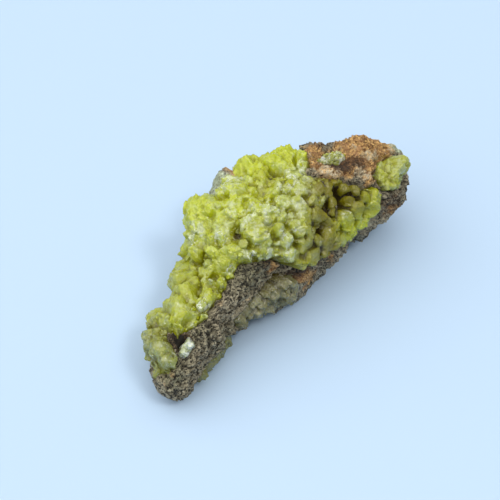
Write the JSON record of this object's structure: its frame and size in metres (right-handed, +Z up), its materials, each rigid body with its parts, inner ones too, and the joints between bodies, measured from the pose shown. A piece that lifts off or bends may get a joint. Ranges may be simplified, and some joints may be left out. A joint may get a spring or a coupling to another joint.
{
  "type": "pyromorphite specimen",
  "caption": "Long mineral specimen: yellow-green barrel crystals crusted over porous grey-brown rock with a rusty orange end.",
  "frame": {"origin": "on the table under the middle of the specimen's bounding box", "axes": "+Z up; +X along the specimen from its near tip to the orange end, its longest extent; -Y towards the bare front face of the rock"},
  "size_m": [0.0452, 0.0198, 0.0158],
  "materials": {
    "host_rock": "matte",
    "pyromorphite": "satin",
    "pale_pyromorphite": "satin",
    "beige_pyromorphite": "satin",
    "white_crystal": "gloss"
  },
  "bodies": {
    "root": {"matrix": "host_rock", "main_crust": "pyromorphite", "tip_cluster": "pale_pyromorphite", "end_cluster": "pale_pyromorphite", "ledge_crust": "beige_pyromorphite", "underside_crust": "pale_pyromorphite", "saddle_cluster": "beige_pyromorphite", "cavity_crystals": "white_crystal"}
  },
  "joints": []
}
